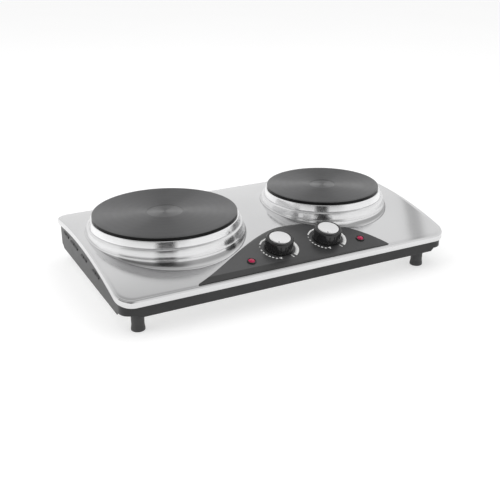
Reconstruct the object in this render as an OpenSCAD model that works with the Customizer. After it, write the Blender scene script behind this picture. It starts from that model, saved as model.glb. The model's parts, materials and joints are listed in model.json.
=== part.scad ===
// Double solid-plate hob: two cast-iron hot plates on an arched steel top.
// X runs to the right, Y to the back, Z up. The origin is on the table, under the middle.

/* [Body] */
// Width of the top sheet, left to right
body_w = 460; // [456:1:476]
// Depth of the top sheet, front to back
body_d = 268; // [266:1:280]
// Height of the arched top's crest above the table
crest_h = 68; // [67:0.5:70]
// Radius of the arch, seen from the side
arch_r = 584; // [560:1:640]
// Distance of the crest behind the middle
crest_y = 35; // [30:1:40]
// Corner radius of the top sheet
corner_r = 20; // [16:1:23]
// Height of the sheet's turned-down skirt
skirt_h = 8.5; // [6:0.5:10]
// Thickness of the steel sheet
sheet_t = 0.8; // [0.6:0.1:1]
// How far the black housing stands back from the skirt
base_inset = 3.5; // [3:0.5:5]
// Wall thickness of the black housing
base_t = 1; // [0.8:0.1:2]
// Height of the housing's flat underside above the table
floor_h = 24; // [23:0.5:25]
// How far the lips along the housing's lower edges hang down
lip_h = 4; // [3:0.5:5]

/* [Hot plates] */
// Radius of the large plate
large_r = 92.5; // [90:0.5:93]
// Radius of the small plate
small_r = 77.5; // [70:0.5:80]
// Distance of each plate's centre from the middle, left and right
plate_x = 118.2; // [117:0.2:120]
// Distance of the plates' centres behind the middle
plate_y = 6.4; // [2:0.2:10]
// Height of the plates' cooking face above the table
plate_top = 89.3; // [88.5:0.1:91]
// Depth of the round recess in the middle of each plate
recess_t = 0.8; // [0.5:0.1:1.2]
// Height of the iron edge that shows above the spill ring
edge_h = 4.5; // [4:0.1:5]
// How much wider than the plate the sheet's raised collar is
collar_gap = 8.8; // [8:0.1:10]

/* [Controls] */
// Position of the left knob across the body
knob_left_x = -8.5; // [-12:0.5:-4]
// Position of the right knob across the body
knob_right_x = 62; // [58:0.5:66]
// Distance of both knobs in front of the middle
knob_y = 94.7; // [92:0.1:97]
// Radius of a knob at its foot
knob_r = 18.6; // [17:0.1:19]
// Height of a knob above the sheet
knob_h = 15.6; // [15:0.1:17]
// Position of the left pilot lamp across the body
lamp_left_x = -54.4; // [-60:0.1:-50]
// Position of the right pilot lamp across the body
lamp_right_x = 103.8; // [100:0.1:106]
// Distance of both pilot lamps in front of the middle
lamp_y = 109.8; // [107:0.1:112]

/* [Feet] */
// Radius of a foot at the table
foot_r = 8.4; // [7:0.1:9]
// Position of the left feet across the body
foot_left_x = -205; // [-208:1:-195]
// Position of the right feet across the body
foot_right_x = 192; // [185:1:205]
// Distance of the feet from the middle, front and back
foot_y = 118.5; // [116:0.5:119]

/* [Hidden] */
$fn = 96;

far = 700;                 // longer than the whole object
play = 0.1;                // gap between pieces that lie on each other
run = 0.05;                // radial clearance of a shaft in its bush
screw_r = 1.7;             // the casing's small screws

base_w = body_w - 2 * base_inset;
base_d = body_d - 2 * base_inset;
base_r = corner_r - 6;
flange_w = 20;             // width of the housing's bottom flange
lip_end = 16;              // distance of a lip's end from the housing's corner
rear_w = base_w - 2 * base_r - 4;
rear_foot = 3;             // width of the rear wall's foot on the flange

vents = [[89.5, 9.5], [53, 13.5], [10.5, 9.5], [-38.5, 11.5]];

cover_t = 0.8;
cover_inset = 5;
cover_corner = 26;
cover_z = floor_h - cover_t;

collar_top = plate_top - 13.5;
opening_gap = 4;           // the sheet's opening is this much narrower than the plate
iron_gap = 6.5;            // the plate's body under the sheet is this much narrower
iron_h = 18;
web_t = 7;                 // thickness of the plate over its heating coil
dish_t = 0.6;
dish_h = 4.6;
dish_z = plate_top - iron_h - play - dish_h;
pin_low = dish_z - 14;     // lower ends of a plate's terminal pins
bar_w = 22;
bar_t = 1.6;
bar_z = 56.4;
stud_r = 3;
stud_z = 47;

panel_t = 0.5;
panel_clear = 2.5;         // distance of the panel from the small plate's collar
panel_front = body_d / 2 - 2.8;
panel_tip = 2;              // height of the blunt ends at the panel's tips
panel_tip_left = -133;
panel_tip_right = 134.5;
panel_crown = [18, -51.2];

cap_r = 13.4;
cap_t = 1.8;               // the cap stands a little above the knob
cap_seat = 1;
off_angle = 35;            // the off mark's direction, clockwise from the front
spindle_r = 3;
bush_r = 4.5;
adjuster_z = -12.4;        // underside of the adjuster at the knob's off position
adjust_travel = 1;         // how far a full turn of the knob moves the adjuster
leaf_levels = [-17, -19];  // undersides of the contact leaves
leaf_t = 0.4;
leaf_end_x = -23;

lamp_r = 4;
lamp_bore_r = 3.5;

gland_x = -40;
gland_z = 40;
cord_r = 3.6;
block_at = [gland_x, 92, floor_h + play];
block_ways = [-12, 0, 12];
block_bore_z = 6;
earth_at = [-6, 120.5];
earth_r = 2;
earth_ring_r = 4.6;

post_places = [[-214, -88], [-214, 100], [214, -88], [214, 100], [0, -120.5], [10, 120.5]];
foot_places = [[foot_left_x, -foot_y], [foot_right_x, -foot_y],
               [foot_left_x, foot_y], [foot_right_x, foot_y]];
knob_places = [knob_left_x, knob_right_x];
lamp_places = [lamp_left_x, lamp_right_x];

black = [0.09, 0.09, 0.10];
iron = [0.20, 0.20, 0.21];
steel = [0.72, 0.72, 0.73];
zinc = [0.62, 0.62, 0.60];
ceramic = [0.90, 0.88, 0.82];
brass = [0.78, 0.64, 0.32];

// ---------- shapes that several pieces share ----------

// Height of the arched top at a distance y behind the middle
function arch_z(y) = crest_h - arch_r + sqrt(arch_r * arch_r - (y - crest_y) * (y - crest_y));
// Angle by which the top leans forward there
function lean(y) = asin((crest_y - y) / arch_r);

module round_rect(w, d, r) {
    square([w - 2 * r, d], center = true);
    square([w, d - 2 * r], center = true);
    for (sx = [-1, 1], sy = [-1, 1])
        translate([sx * (w / 2 - r), sy * (d / 2 - r)]) circle(r);
}

// The long cylinder whose upper side is the arch, lowered by drop and thinned by inward
module under_arch(drop = 0, inward = 0) {
    translate([0, crest_y, crest_h - arch_r - drop])
        rotate([0, 90, 0]) cylinder(r = arch_r - inward, h = far, center = true, $fn = 360);
}

// A rounded block from height z up to the arch
module arch_block(w, d, r, z, drop = 0, inward = 0) {
    intersection() {
        translate([0, 0, z]) linear_extrude(crest_h + 1) round_rect(w, d, r);
        under_arch(drop, inward);
    }
}

// Places its children on the arched top, with their Z along the top's normal
module on_top(x, front) {
    translate([x, -front, arch_z(-front)]) rotate([lean(-front), 0, 0]) children();
}

module at_plates(which = [0, 1]) {
    for (i = which) translate([i == 0 ? -plate_x : plate_x, plate_y, 0]) children();
}

module tube(r_out, r_in, h) {
    difference() {
        cylinder(r = r_out, h = h);
        translate([0, 0, -1]) cylinder(r = r_in, h = h + 2);
    }
}

// ---------- casing ----------

module sheet_shell() {
    difference() {
        arch_block(body_w, body_d, corner_r, 0);
        arch_block(body_w - 2 * sheet_t, body_d - 2 * sheet_t, corner_r - sheet_t, -1, 0, sheet_t);
        under_arch(skirt_h);
    }
}

module collar_block(r) {
    difference() {
        cylinder(r = r + collar_gap, h = collar_top);
        translate([0, -plate_y, 0]) under_arch(0, sheet_t);
    }
}

module collar_hollow(r) {
    translate([0, 0, -1]) cylinder(r = r + collar_gap - sheet_t, h = collar_top - sheet_t + 1);
    cylinder(r = r - opening_gap, h = collar_top + 1);
}

module top_sheet() {
    color(steel) difference() {
        sheet_shell();
        at_plates([0]) cylinder(r = large_r + collar_gap + play, h = plate_top);
        at_plates([1]) cylinder(r = small_r + collar_gap + play, h = plate_top);
        for (x = knob_places) on_top(x, knob_y) cylinder(r = bush_r + play, h = 10, center = true);
        for (x = lamp_places) on_top(x, lamp_y) cylinder(r = lamp_r + play, h = 10, center = true);
    }
}

module plate_collar(r) {
    color(steel) difference() {
        collar_block(r);
        collar_hollow(r);
    }
}

module collar_large() at_plates([0]) plate_collar(large_r);
module collar_small() at_plates([1]) plate_collar(small_r);

// A point on the cubic curve through a and d, drawn towards b and c
function cubic(a, b, c, d, t) =
    pow(1 - t, 3) * a + 3 * pow(1 - t, 2) * t * b + 3 * (1 - t) * t * t * c + pow(t, 3) * d;

module panel_outline() {
    left_tip = [panel_tip_left, -panel_front + panel_tip];
    right_tip = [panel_tip_right, -panel_front + panel_tip];
    steps = 14;
    polygon(concat(
        [[panel_tip_right, -panel_front], [panel_tip_left, -panel_front]],
        [for (i = [0 : steps])
            cubic(left_tip, [-87, -110.5], panel_crown - [38, 0], panel_crown, i / steps)],
        [for (i = [1 : steps])
            cubic(panel_crown, panel_crown + [57, 0], [107, -76], right_tip, i / steps)]
    ));
}

module control_panel() {
    color(black) difference() {
        intersection() {
            linear_extrude(crest_h + 10) panel_outline();
            under_arch(0, -panel_t - play);
        }
        under_arch(0, -play);
        at_plates([1]) cylinder(r = small_r + collar_gap + panel_clear, h = plate_top);
        for (x = knob_places) on_top(x, knob_y) cylinder(r = bush_r + play, h = 10, center = true);
        for (x = lamp_places) on_top(x, lamp_y) cylinder(r = lamp_r + play, h = 10, center = true);
    }
}

// Two short slots side by side in a side wall; v is [middle, length of one slot]
module vent_pair(v) {
    for (s = [-1, 1]) {
        y = v[0] + s * (v[1] / 2 + 1);
        translate([0, y, 42 + 0.043 * y]) cube([12, v[1], 3.2], center = true);
    }
}

// One lip along an edge of length len, with sloping ends, lying along X
module lip(len) {
    rotate([90, 0, 0]) linear_extrude(base_t, center = true)
        polygon([[-len / 2, 0], [len / 2, 0], [len / 2 - lip_h, -lip_h], [-len / 2 + lip_h, -lip_h]]);
}

module base_housing() {
    long_lip = base_w - 2 * lip_end;
    side_lip = base_d - 2 * lip_end;
    color(black) difference() {
        union() {
            arch_block(base_w, base_d, base_r, floor_h, 0, sheet_t + 0.3);
            for (s = [-1, 1]) {
                translate([0, s * (base_d - base_t) / 2, floor_h]) lip(long_lip);
                translate([s * (base_w - base_t) / 2, 0, floor_h]) rotate([0, 0, 90]) lip(side_lip);
            }
        }
        translate([0, 0, floor_h + base_t]) linear_extrude(crest_h)
            round_rect(base_w - 2 * base_t, base_d - 2 * base_t, base_r - base_t);
        translate([0, 0, floor_h - 1]) linear_extrude(10)
            round_rect(base_w - 2 * flange_w, base_d - 2 * flange_w, 4);
        for (s = [-1, 1], v = vents) translate([s * base_w / 2, 0, 0]) vent_pair(v);
        translate([-rear_w / 2 - play, base_d / 2 - base_t - 1, floor_h + base_t])
            cube([rear_w + 2 * play, 10, crest_h]);
        for (p = post_places) translate([p[0], p[1], 0]) cylinder(r = 2, h = 40);
        for (p = foot_places) translate([p[0], p[1], 0]) cylinder(r = 2, h = 40);
        translate([earth_at[0], earth_at[1], 0]) cylinder(r = earth_r + run, h = 40);
    }
}

// Upright wall between the housing's rear corners, with the hole for the cord gland
module rear_wall() {
    z = floor_h + base_t + play;
    color(black) difference() {
        union() {
            intersection() {
                arch_block(base_w, base_d, base_r, floor_h, 0, sheet_t + 0.3);
                translate([-rear_w / 2, base_d / 2 - base_t, z]) cube([rear_w, 10, crest_h]);
            }
            translate([-rear_w / 2, base_d / 2 - rear_foot, z]) cube([rear_w, rear_foot, 1]);
        }
        translate([gland_x, base_d / 2, gland_z]) rotate([90, 0, 0])
            cylinder(r = 6, h = 10, center = true);
    }
}

module bottom_cover() {
    color(zinc) translate([0, 0, cover_z]) linear_extrude(cover_t) difference() {
        round_rect(base_w - 2 * cover_inset, base_d - 2 * cover_inset, cover_corner);
        for (p = post_places) translate(p) circle(2);
        for (p = foot_places) translate(p) circle(2);
        for (sx = [-1, 1], i = [-3 : 3]) translate([sx * plate_x, plate_y + i * 14]) {
            square([60, 4], center = true);
            for (e = [-30, 30]) translate([e, 0]) circle(2);
        }
    }
}

module sheet_posts() {
    color(zinc) for (p = post_places) intersection() {
        translate([p[0], p[1], floor_h + base_t + play]) tube(4, screw_r + run, crest_h);
        under_arch(0, sheet_t + play);
    }
}

// A pan-head screw, pointing up, with its head's underside at the origin
module pan_screw(r, len, head_r, head_h) {
    cylinder(r = r, h = len);
    translate([0, 0, -head_h]) difference() {
        cylinder(r = head_r, h = head_h);
        for (a = [0, 90]) rotate([0, 0, a]) cube([head_r * 1.2, 0.8, head_h], center = true);
    }
}

// The screws of the sheet's posts, from below, and those inside the feet
module base_screws() {
    color(zinc) {
        for (p = post_places)
            translate([p[0], p[1], cover_z - 0.05]) pan_screw(screw_r, 14, 3.6, 2);
        for (p = foot_places) translate([p[0], p[1], 12.9]) pan_screw(1.9, 16, 3.6, 2.4);
    }
}

module foot(p) {
    color(black) translate([p[0], p[1], 0]) rotate_extrude() polygon([
        [3.9, 0], [foot_r - 0.8, 0], [foot_r, 0.9], [foot_r - 0.1, 3], [foot_r - 0.7, 7],
        [foot_r - 0.5, cover_z - 0.05], [2.1, cover_z - 0.05], [2.1, 13], [3.9, 13]
    ]);
}

module foot_front_left() foot(foot_places[0]);
module foot_front_right() foot(foot_places[1]);
module foot_rear_left() foot(foot_places[2]);
module foot_rear_right() foot(foot_places[3]);

// ---------- hot plates ----------

module hotplate(r, recess_r) {
    t = plate_top;
    color(iron) rotate_extrude() polygon([
        [0, t - recess_t], [recess_r, t - recess_t], [recess_r + 1.5, t], [r - 0.8, t],
        [r, t - 0.8], [r, t - edge_h], [r - 2.2, t - edge_h], [r - 2.2, t - 9],
        [r - iron_gap, t - 9], [r - iron_gap, t - iron_h], [r - iron_gap - 5, t - iron_h],
        [r - iron_gap - 5, t - web_t], [24, t - web_t], [24, t - iron_h], [stud_r + run, t - iron_h],
        [stud_r + run, t - 7], [0, t - 7]
    ]);
}

module hotplate_large() at_plates([0]) hotplate(large_r, 22);
module hotplate_small() at_plates([1]) hotplate(small_r, 17);

// The heating coil in its insulating mass, pressed into the plate's groove
module heater(r) {
    color(ceramic) translate([0, 0, plate_top - 17])
        tube(r - iron_gap - 5 - play, 24 + play, 17 - web_t - play);
}

module heater_large() at_plates([0]) heater(large_r);
module heater_small() at_plates([1]) heater(small_r);

module spill_ring(r) {
    z = plate_top - edge_h - play;
    foot_z = collar_top + play;
    color(steel) rotate_extrude() polygon([
        [r - 2, z], [r + 1.4, z], [r + 2.1, z - 0.7], [r + 4.2, foot_z], [r + 3.3, foot_z],
        [r + 1.2, z - 0.8], [r - 2, z - 0.8]
    ]);
}

module spill_ring_large() at_plates([0]) spill_ring(large_r);
module spill_ring_small() at_plates([1]) spill_ring(small_r);

module plate_dish(r) {
    out_r = r - iron_gap - 0.5;
    color(zinc) difference() {
        translate([0, 0, dish_z]) cylinder(r = out_r, h = dish_h);
        translate([0, 0, dish_z + dish_t]) cylinder(r = out_r - dish_t, h = dish_h);
        translate([0, 0, dish_z - 1]) cylinder(r = 4, h = 5);
        for (x = [-9, 0, 9]) translate([x, 28, dish_z - 1]) cylinder(r = 2.2, h = 5);
    }
}

module plate_dish_large() at_plates([0]) plate_dish(large_r);
module plate_dish_small() at_plates([1]) plate_dish(small_r);

// A strap that pulls the plate down: its ends press up against the collar's flange
module clamp_bar(r) {
    tab_in = r - opening_gap + 1.5;
    tab_out = r + collar_gap - sheet_t - 2;
    top = collar_top - sheet_t - play;
    half = [
        [tab_in, bar_z + bar_t], [tab_in, top], [tab_out, top], [tab_out, top - bar_t],
        [tab_in + bar_t, top - bar_t], [tab_in + bar_t, bar_z]
    ];
    color(zinc) difference() {
        rotate([90, 0, 0]) linear_extrude(bar_w, center = true) polygon(concat(
            half, [for (i = [5 : -1 : 0]) [-half[i][0], half[i][1]]]
        ));
        cylinder(r = stud_r + 0.3, h = crest_h);
    }
}

module clamp_bar_large() at_plates([0]) clamp_bar(large_r);
module clamp_bar_small() at_plates([1]) clamp_bar(small_r);

module plate_studs() {
    color(zinc) at_plates() translate([0, 0, stud_z])
        cylinder(r = stud_r, h = plate_top - 7.2 - stud_z);
}

module clamp_nuts() {
    color(zinc) at_plates() difference() {
        union() {
            translate([0, 0, bar_z - play - 1]) cylinder(r = 7, h = 1);
            translate([0, 0, bar_z - play - 6]) cylinder(r = 5.8, h = 5, $fn = 6);
        }
        cylinder(r = stud_r + run, h = crest_h);
    }
}

// Ceramic block under the dish, with three pins to the heater
module plate_terminals() {
    color(ceramic) difference() {
        translate([-17, 22, dish_z - 10 - play]) cube([34, 12, 10]);
        for (x = [-9, 0, 9]) translate([x, 28, 0]) cylinder(r = 1.6, h = crest_h + 10);
    }
    color(brass) for (x = [-9, 0, 9])
        translate([x, 28, pin_low]) cylinder(r = 1.5, h = plate_top - 17 - play - pin_low);
}

module plate_terminals_large() at_plates([0]) plate_terminals();
module plate_terminals_small() at_plates([1]) plate_terminals();

// ---------- knobs and thermostats, each drawn about its own spindle ----------

// The spindle's D section: a circle with a flat towards the back
module d_section(r, flat) {
    intersection() {
        circle(r);
        translate([-r - 1, -r - 1]) square([2 * r + 2, r + 1 + flat]);
    }
}

module knob() {
    top = knob_h;
    color(black) difference() {
        rotate_extrude() polygon([
            [0, 3], [5.6, 3], [5.6, top - 3.4], [knob_r - 3.4, top - 3.4], [knob_r - 2, 1.6],
            [knob_r - 0.4, 1.6], [knob_r, 2.2], [knob_r - 1.3, top - 1.2], [knob_r - 2.3, top],
            [cap_r + 0.9, top], [cap_r + 0.6, top - 0.5], [cap_r + play, top - 0.5],
            [cap_r + play, top - cap_seat], [0, top - cap_seat]
        ]);
        translate([0, 0, 2]) linear_extrude(top - cap_seat - 3) d_section(spindle_r + run, 2.6);
    }
}

module knob_cap() {
    color(steel) translate([0, 0, knob_h - cap_seat + play]) difference() {
        cylinder(r = cap_r, h = cap_t);
        rotate([0, 0, -off_angle]) translate([0, -cap_r + 2, cap_t - 0.3]) cylinder(r = 0.8, h = 1);
    }
}

// Leaf that wedges the knob's bore against the spindle's flat
module knob_spring() {
    color(zinc) translate([-1.4, 2.1, 4]) cube([2.8, 0.4, 7]);
}

module spindle() {
    color(zinc) {
        translate([0, 0, -9.9]) cylinder(r = spindle_r, h = 12.8);
        translate([0, 0, -5.4]) cylinder(r = 4.4, h = 1.2);
        translate([0, 0, 2.8]) linear_extrude(9.6) d_section(spindle_r, 2);
    }
}

module thermostat_bush() {
    color(brass) difference() {
        union() {
            translate([0, 0, -4]) cylinder(r = 7.5, h = 1.3);
            translate([0, 0, -3]) cylinder(r = bush_r, h = 5.6);
        }
        translate([0, 0, -5]) cylinder(r = spindle_r + run, h = 10);
    }
}

module bush_nut() {
    translate([0, 0, panel_t + 2 * play]) difference() {
        cylinder(r = 7.6, h = 1.5, $fn = 6);
        translate([0, 0, -1]) cylinder(r = bush_r + run, h = 5);
    }
}

// Open steel frame that hangs under the top, with a window for the contact leaves
module thermostat_frame() {
    color(zinc) difference() {
        translate([-18, -9, -22]) cube([36, 18, 20.6]);
        translate([-16.7, -10, -20.7]) cube([33.4, 20, 18]);
        translate([0, 0, -6]) cylinder(r = bush_r + play, h = 8);
        translate([-20, -4, -19.9]) cube([5, 8, 5]);
    }
}

// Nut that rides the spindle's thread; its square plate keeps it from turning in the frame
module adjuster() {
    color(brass) difference() {
        union() {
            translate([0, 0, adjuster_z]) cylinder(r = 5.6, h = 5.8);
            translate([-16.4, -7, adjuster_z]) cube([32.8, 14, 1.5]);
        }
        translate([0, 0, adjuster_z + 1]) cylinder(r = spindle_r + run, h = 6);
        translate([0, 0, adjuster_z - 1]) cylinder(r = 1, h = 3);
    }
}

// Its tip stays 0.3 above the upper leaf at the end of the travel
module adjuster_pin() {
    tip = leaf_levels[0] + leaf_t + 0.3 + adjust_travel;
    color(ceramic) {
        translate([0, 0, tip]) cylinder(r = 1.6, h = adjuster_z - run - tip);
        translate([0, 0, adjuster_z - play]) cylinder(r = 0.95, h = 1);
    }
}

module contact_stack() {
    color(ceramic) difference() {
        translate([-16.6, -6, -20.6]) cube([9, 12, 6]);
        for (z = leaf_levels)
            translate([-18, -3.1, z - play]) cube([12, 6.2, leaf_t + 2 * play]);
    }
}

module contact_leaves() {
    color(brass) {
        for (z = leaf_levels) translate([leaf_end_x, -3, z]) cube([32, 6, leaf_t]);
        translate([6, 0, leaf_levels[0] - 0.6]) cylinder(r = 1.5, h = 0.7);
        translate([6, 0, leaf_levels[1] + leaf_t - 0.1]) cylinder(r = 1.5, h = 0.7);
    }
}

module left_control() on_top(knob_left_x, knob_y) children();
module right_control() on_top(knob_right_x, knob_y) children();

module knob_left() left_control() knob();
module knob_right() right_control() knob();
module knob_cap_left() left_control() knob_cap();
module knob_cap_right() right_control() knob_cap();
module knob_spring_left() left_control() knob_spring();
module knob_spring_right() right_control() knob_spring();
module spindle_left() left_control() spindle();
module spindle_right() right_control() spindle();
module thermostat_bush_left() left_control() thermostat_bush();
module thermostat_bush_right() right_control() thermostat_bush();
module thermostat_frame_left() left_control() thermostat_frame();
module thermostat_frame_right() right_control() thermostat_frame();
module adjuster_left() left_control() adjuster();
module adjuster_right() right_control() adjuster();
module adjuster_pin_left() left_control() adjuster_pin();
module adjuster_pin_right() right_control() adjuster_pin();
module contact_stack_left() left_control() contact_stack();
module contact_stack_right() right_control() contact_stack();
module contact_leaves_left() left_control() contact_leaves();
module contact_leaves_right() right_control() contact_leaves();

// ---------- pilot lamps ----------

rim_z = panel_t + 2 * play;    // underside of a lamp holder's rim

module lamp_lens() {
    color([0.75, 0.05, 0.12]) {
        translate([0, 0, -7]) cylinder(r = lamp_bore_r - play, h = rim_z + 7.7);
        translate([0, 0, rim_z + 0.7]) cylinder(r1 = 4.4, r2 = 2.2, h = 1.5, $fn = 8);
    }
}

module lamp_holder() {
    color(black) rotate_extrude() polygon([
        [0, -18], [lamp_r, -18], [lamp_r, rim_z], [5.8, rim_z], [5.6, rim_z + 0.9],
        [5.2, rim_z + 1.4], [4.5, rim_z + 1.4], [4.5, rim_z + 0.6], [lamp_bore_r, rim_z + 0.6],
        [lamp_bore_r, -16.5], [0, -16.5]
    ]);
}

module lamp_nut() {
    translate([0, 0, -3.6]) difference() {
        cylinder(r = 6.2, h = 2.5, $fn = 6);
        translate([0, 0, -1]) cylinder(r = lamp_r + run, h = 5);
    }
}

module lamp_lens_left() on_top(lamp_left_x, lamp_y) lamp_lens();
module lamp_lens_right() on_top(lamp_right_x, lamp_y) lamp_lens();
module lamp_holder_left() on_top(lamp_left_x, lamp_y) lamp_holder();
module lamp_holder_right() on_top(lamp_right_x, lamp_y) lamp_holder();

// The nuts that hold the thermostats' bushes and the lamp holders in the sheet
module panel_nuts() {
    color(zinc) {
        for (x = knob_places) on_top(x, knob_y) bush_nut();
        for (x = lamp_places) on_top(x, lamp_y) lamp_nut();
    }
}

// ---------- mains connection ----------

module terminal_block() {
    color(ceramic) translate(block_at) difference() {
        translate([-18, -9, 0]) cube([36, 18, 12]);
        for (x = block_ways) {
            translate([x, 0, block_bore_z]) rotate([90, 0, 0])
                cylinder(r = 2.6, h = 30, center = true);
            for (y = [-5, 5]) translate([x, y, block_bore_z]) cylinder(r = 1.8, h = 10);
        }
    }
}

module terminal_screws() {
    color(brass) translate(block_at) for (x = block_ways, y = [-5, 5])
        translate([x, y, block_bore_z + 1.8]) cylinder(r = 1.7, h = 3.6);
}

module cord_gland() {
    color(black) translate([gland_x, base_d / 2, gland_z]) rotate([-90, 0, 0]) difference() {
        union() {
            translate([0, 0, play]) cylinder(r1 = 9, r2 = 8, h = 2.6);
            translate([0, 0, -10]) cylinder(r = 5.9, h = 10.5);
        }
        translate([0, 0, -11]) cylinder(r = cord_r, h = 20);
    }
}

module gland_nut() {
    color(black) translate([gland_x, base_d / 2 - base_t - play, gland_z]) rotate([90, 0, 0])
        difference() {
            cylinder(r = 9, h = 4, $fn = 6);
            translate([0, 0, -1]) cylinder(r = 5.95, h = 6);
        }
}

// Stud with a ring terminal and a nut on the housing's flange
module earth_screw() {
    color(brass) translate([earth_at[0], earth_at[1], floor_h]) {
        translate([0, 0, 0.5]) cylinder(r = earth_r, h = 9);
        translate([0, 0, base_t + play]) tube(earth_ring_r, earth_r, 1);
        translate([0, 0, base_t + 1.1]) cylinder(r = 4, h = 3, $fn = 6);
    }
}

// ---------- internal wires ----------

wire_r = 1;

function unit(v) = v / norm(v);

// Direction and pace at point i of a route, never longer than the shorter stretch beside it
function pace(p, i) = let (n = len(p) - 1, a = p[max(i - 1, 0)], c = p[min(i + 1, n)])
    unit(c - a) * (i == 0 ? norm(c - p[0]) : i == n ? norm(p[n] - a) :
        min(norm(c - p[i]), norm(p[i] - a)));
function blend(a, b, u, v, t) = (2 * pow(t, 3) - 3 * t * t + 1) * a + (pow(t, 3) - 2 * t * t + t) * u
    + (3 * t * t - 2 * pow(t, 3)) * b + (pow(t, 3) - t * t) * v;
// Points on a smooth curve through the hand-placed points p, steps to each stretch
function smooth(p, steps) = concat(
    [for (i = [0 : len(p) - 2], k = [0 : steps - 1])
        blend(p[i], p[i + 1], pace(p, i), pace(p, i + 1), k / steps)],
    [p[len(p) - 1]]);

function heading(p, i) = unit(p[min(i + 1, len(p) - 1)] - p[max(i - 1, 0)]);
// Sideways direction at each point, carried along the curve without twist
function sides(p, i, last, found) = i == len(p) ? found :
    let (h = heading(p, i), s = unit(last - (last * h) * h)) sides(p, i + 1, s, concat(found, [s]));

module wire(route) {
    corners = 8;
    p = smooth(route, 4);
    n = len(p);
    side = sides(p, 0, [0.31, 0.87, 0.38], []);
    points = [for (i = [0 : n - 1], k = [0 : corners - 1])
        let (up = cross(heading(p, i), side[i]), a = 360 * k / corners)
        p[i] + wire_r * (cos(a) * side[i] + sin(a) * up)];
    walls = [for (i = [0 : n - 2], k = [0 : corners - 1]) let (m = (k + 1) % corners)
        [i * corners + k, i * corners + m, (i + 1) * corners + m, (i + 1) * corners + k]];
    ends = [[for (k = [corners - 1 : -1 : 0]) k],
            [for (k = [0 : corners - 1]) (n - 1) * corners + k]];
    polyhedron(points, concat(walls, ends));
}

// Where a point given in a control's own frame lies in the whole
function on_control(x, q) = let (a = lean(-knob_y)) [
    x + q[0], -knob_y + q[1] * cos(a) - q[2] * sin(a), arch_z(-knob_y) + q[1] * sin(a) + q[2] * cos(a)];
// A wire's end in way i of the terminal block, side -1 or 1 of the bore, and its way out
function from_block(i, side) = [for (q = [[86, 1.15], [80, 2.6]])
    [block_at[0] + block_ways[i] + q[1] * side, q[0], block_at[2] + block_bore_z]];
// A wire's way up to pin i of plate p
function to_plate(p, i) = let (x = (p == 0 ? -plate_x : plate_x) + 9 * i, y = plate_y + 28)
    [[x, y, 47], [x, y, pin_low - play]];
// A wire's way to the lower or the upper contact leaf of a control
function to_lower_leaf(x) = [for (u = [-7, -play])
    on_control(x, [leaf_end_x + u, -1.8, leaf_levels[1] + leaf_t / 2])];
function to_upper_leaf(x) = [for (u = [-7, -play])
    on_control(x, [leaf_end_x + u, 1.8, leaf_levels[0] + leaf_t / 2])];
function back(p) = [for (i = [len(p) - 1 : -1 : 0]) p[i]];

module wires_live() {
    color([0.45, 0.25, 0.12]) {
        wire(concat(from_block(0, -1), [[-58, 60, 29.5], [-64, 0, 29], [-56, -60, 29], [-46, -86, 31.5]],
            to_lower_leaf(knob_left_x)));
        wire(concat(from_block(0, 1), [[-44, 58, 29], [-10, 0, 28.5], [14, -60, 28.5], [24, -86, 31]],
            to_lower_leaf(knob_right_x)));
        wire(concat(back(to_upper_leaf(knob_left_x)),
            [[-52, -78, 36.5], [-75, -40, 34], [-105, 0, 36], [-124, 25, 41]], to_plate(0, -1)));
        wire(concat(back(to_upper_leaf(knob_right_x)),
            [[22, -76, 37], [34, -54, 34], [72, -10, 34], [100, 22, 40]], to_plate(1, -1)));
    }
}

module wires_neutral() {
    color([0.15, 0.25, 0.65]) {
        wire(concat(from_block(1, -1), [[-48, 69, 36], [-80, 50, 38], [-110, 38, 42]], to_plate(0, 0)));
        wire(concat(from_block(1, 1), [[-10, 64, 35], [60, 50, 38], [104, 38, 42]], to_plate(1, 0)));
    }
}

module wire_earth() {
    z = floor_h + base_t + wire_r + play;
    reach = earth_ring_r + play;
    color([0.35, 0.6, 0.15]) {
        wire(concat(from_block(2, 0), [[-22, 77, 29.5], [-16, 84, 28.5], [-15, 104, 28], [-15, 115, z]],
            [[earth_at[0] - reach - 2, earth_at[1], z], [earth_at[0] - reach, earth_at[1], z]]));
        wire(concat([[earth_at[0], earth_at[1] - reach, z], [-5, 106, 28], [-8, 84, 36]],
            [[-30, 64, 44], [-90, 40, 45]], to_plate(0, 1)));
        wire(concat([[earth_at[0] + reach, earth_at[1], z], [2, 118, 27.5], [10, 108, 30]],
            [[60, 80, 40], [112, 48, 45]], to_plate(1, 1)));
    }
}

top_sheet();
collar_large();
collar_small();
control_panel();
base_housing();
rear_wall();
bottom_cover();
sheet_posts();
base_screws();
foot_front_left();
foot_front_right();
foot_rear_left();
foot_rear_right();
hotplate_large();
hotplate_small();
heater_large();
heater_small();
spill_ring_large();
spill_ring_small();
plate_dish_large();
plate_dish_small();
clamp_bar_large();
clamp_bar_small();
plate_terminals_large();
plate_terminals_small();
plate_studs();
clamp_nuts();
knob_left();
knob_right();
knob_cap_left();
knob_cap_right();
knob_spring_left();
knob_spring_right();
spindle_left();
spindle_right();
thermostat_bush_left();
thermostat_bush_right();
panel_nuts();
thermostat_frame_left();
thermostat_frame_right();
adjuster_left();
adjuster_right();
adjuster_pin_left();
adjuster_pin_right();
contact_stack_left();
contact_stack_right();
contact_leaves_left();
contact_leaves_right();
lamp_lens_left();
lamp_lens_right();
lamp_holder_left();
lamp_holder_right();
terminal_block();
terminal_screws();
cord_gland();
gland_nut();
earth_screw();
wires_live();
wires_neutral();
wire_earth();
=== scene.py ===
import json
import math

import bmesh
import bpy
from mathutils import Matrix, Vector


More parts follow.
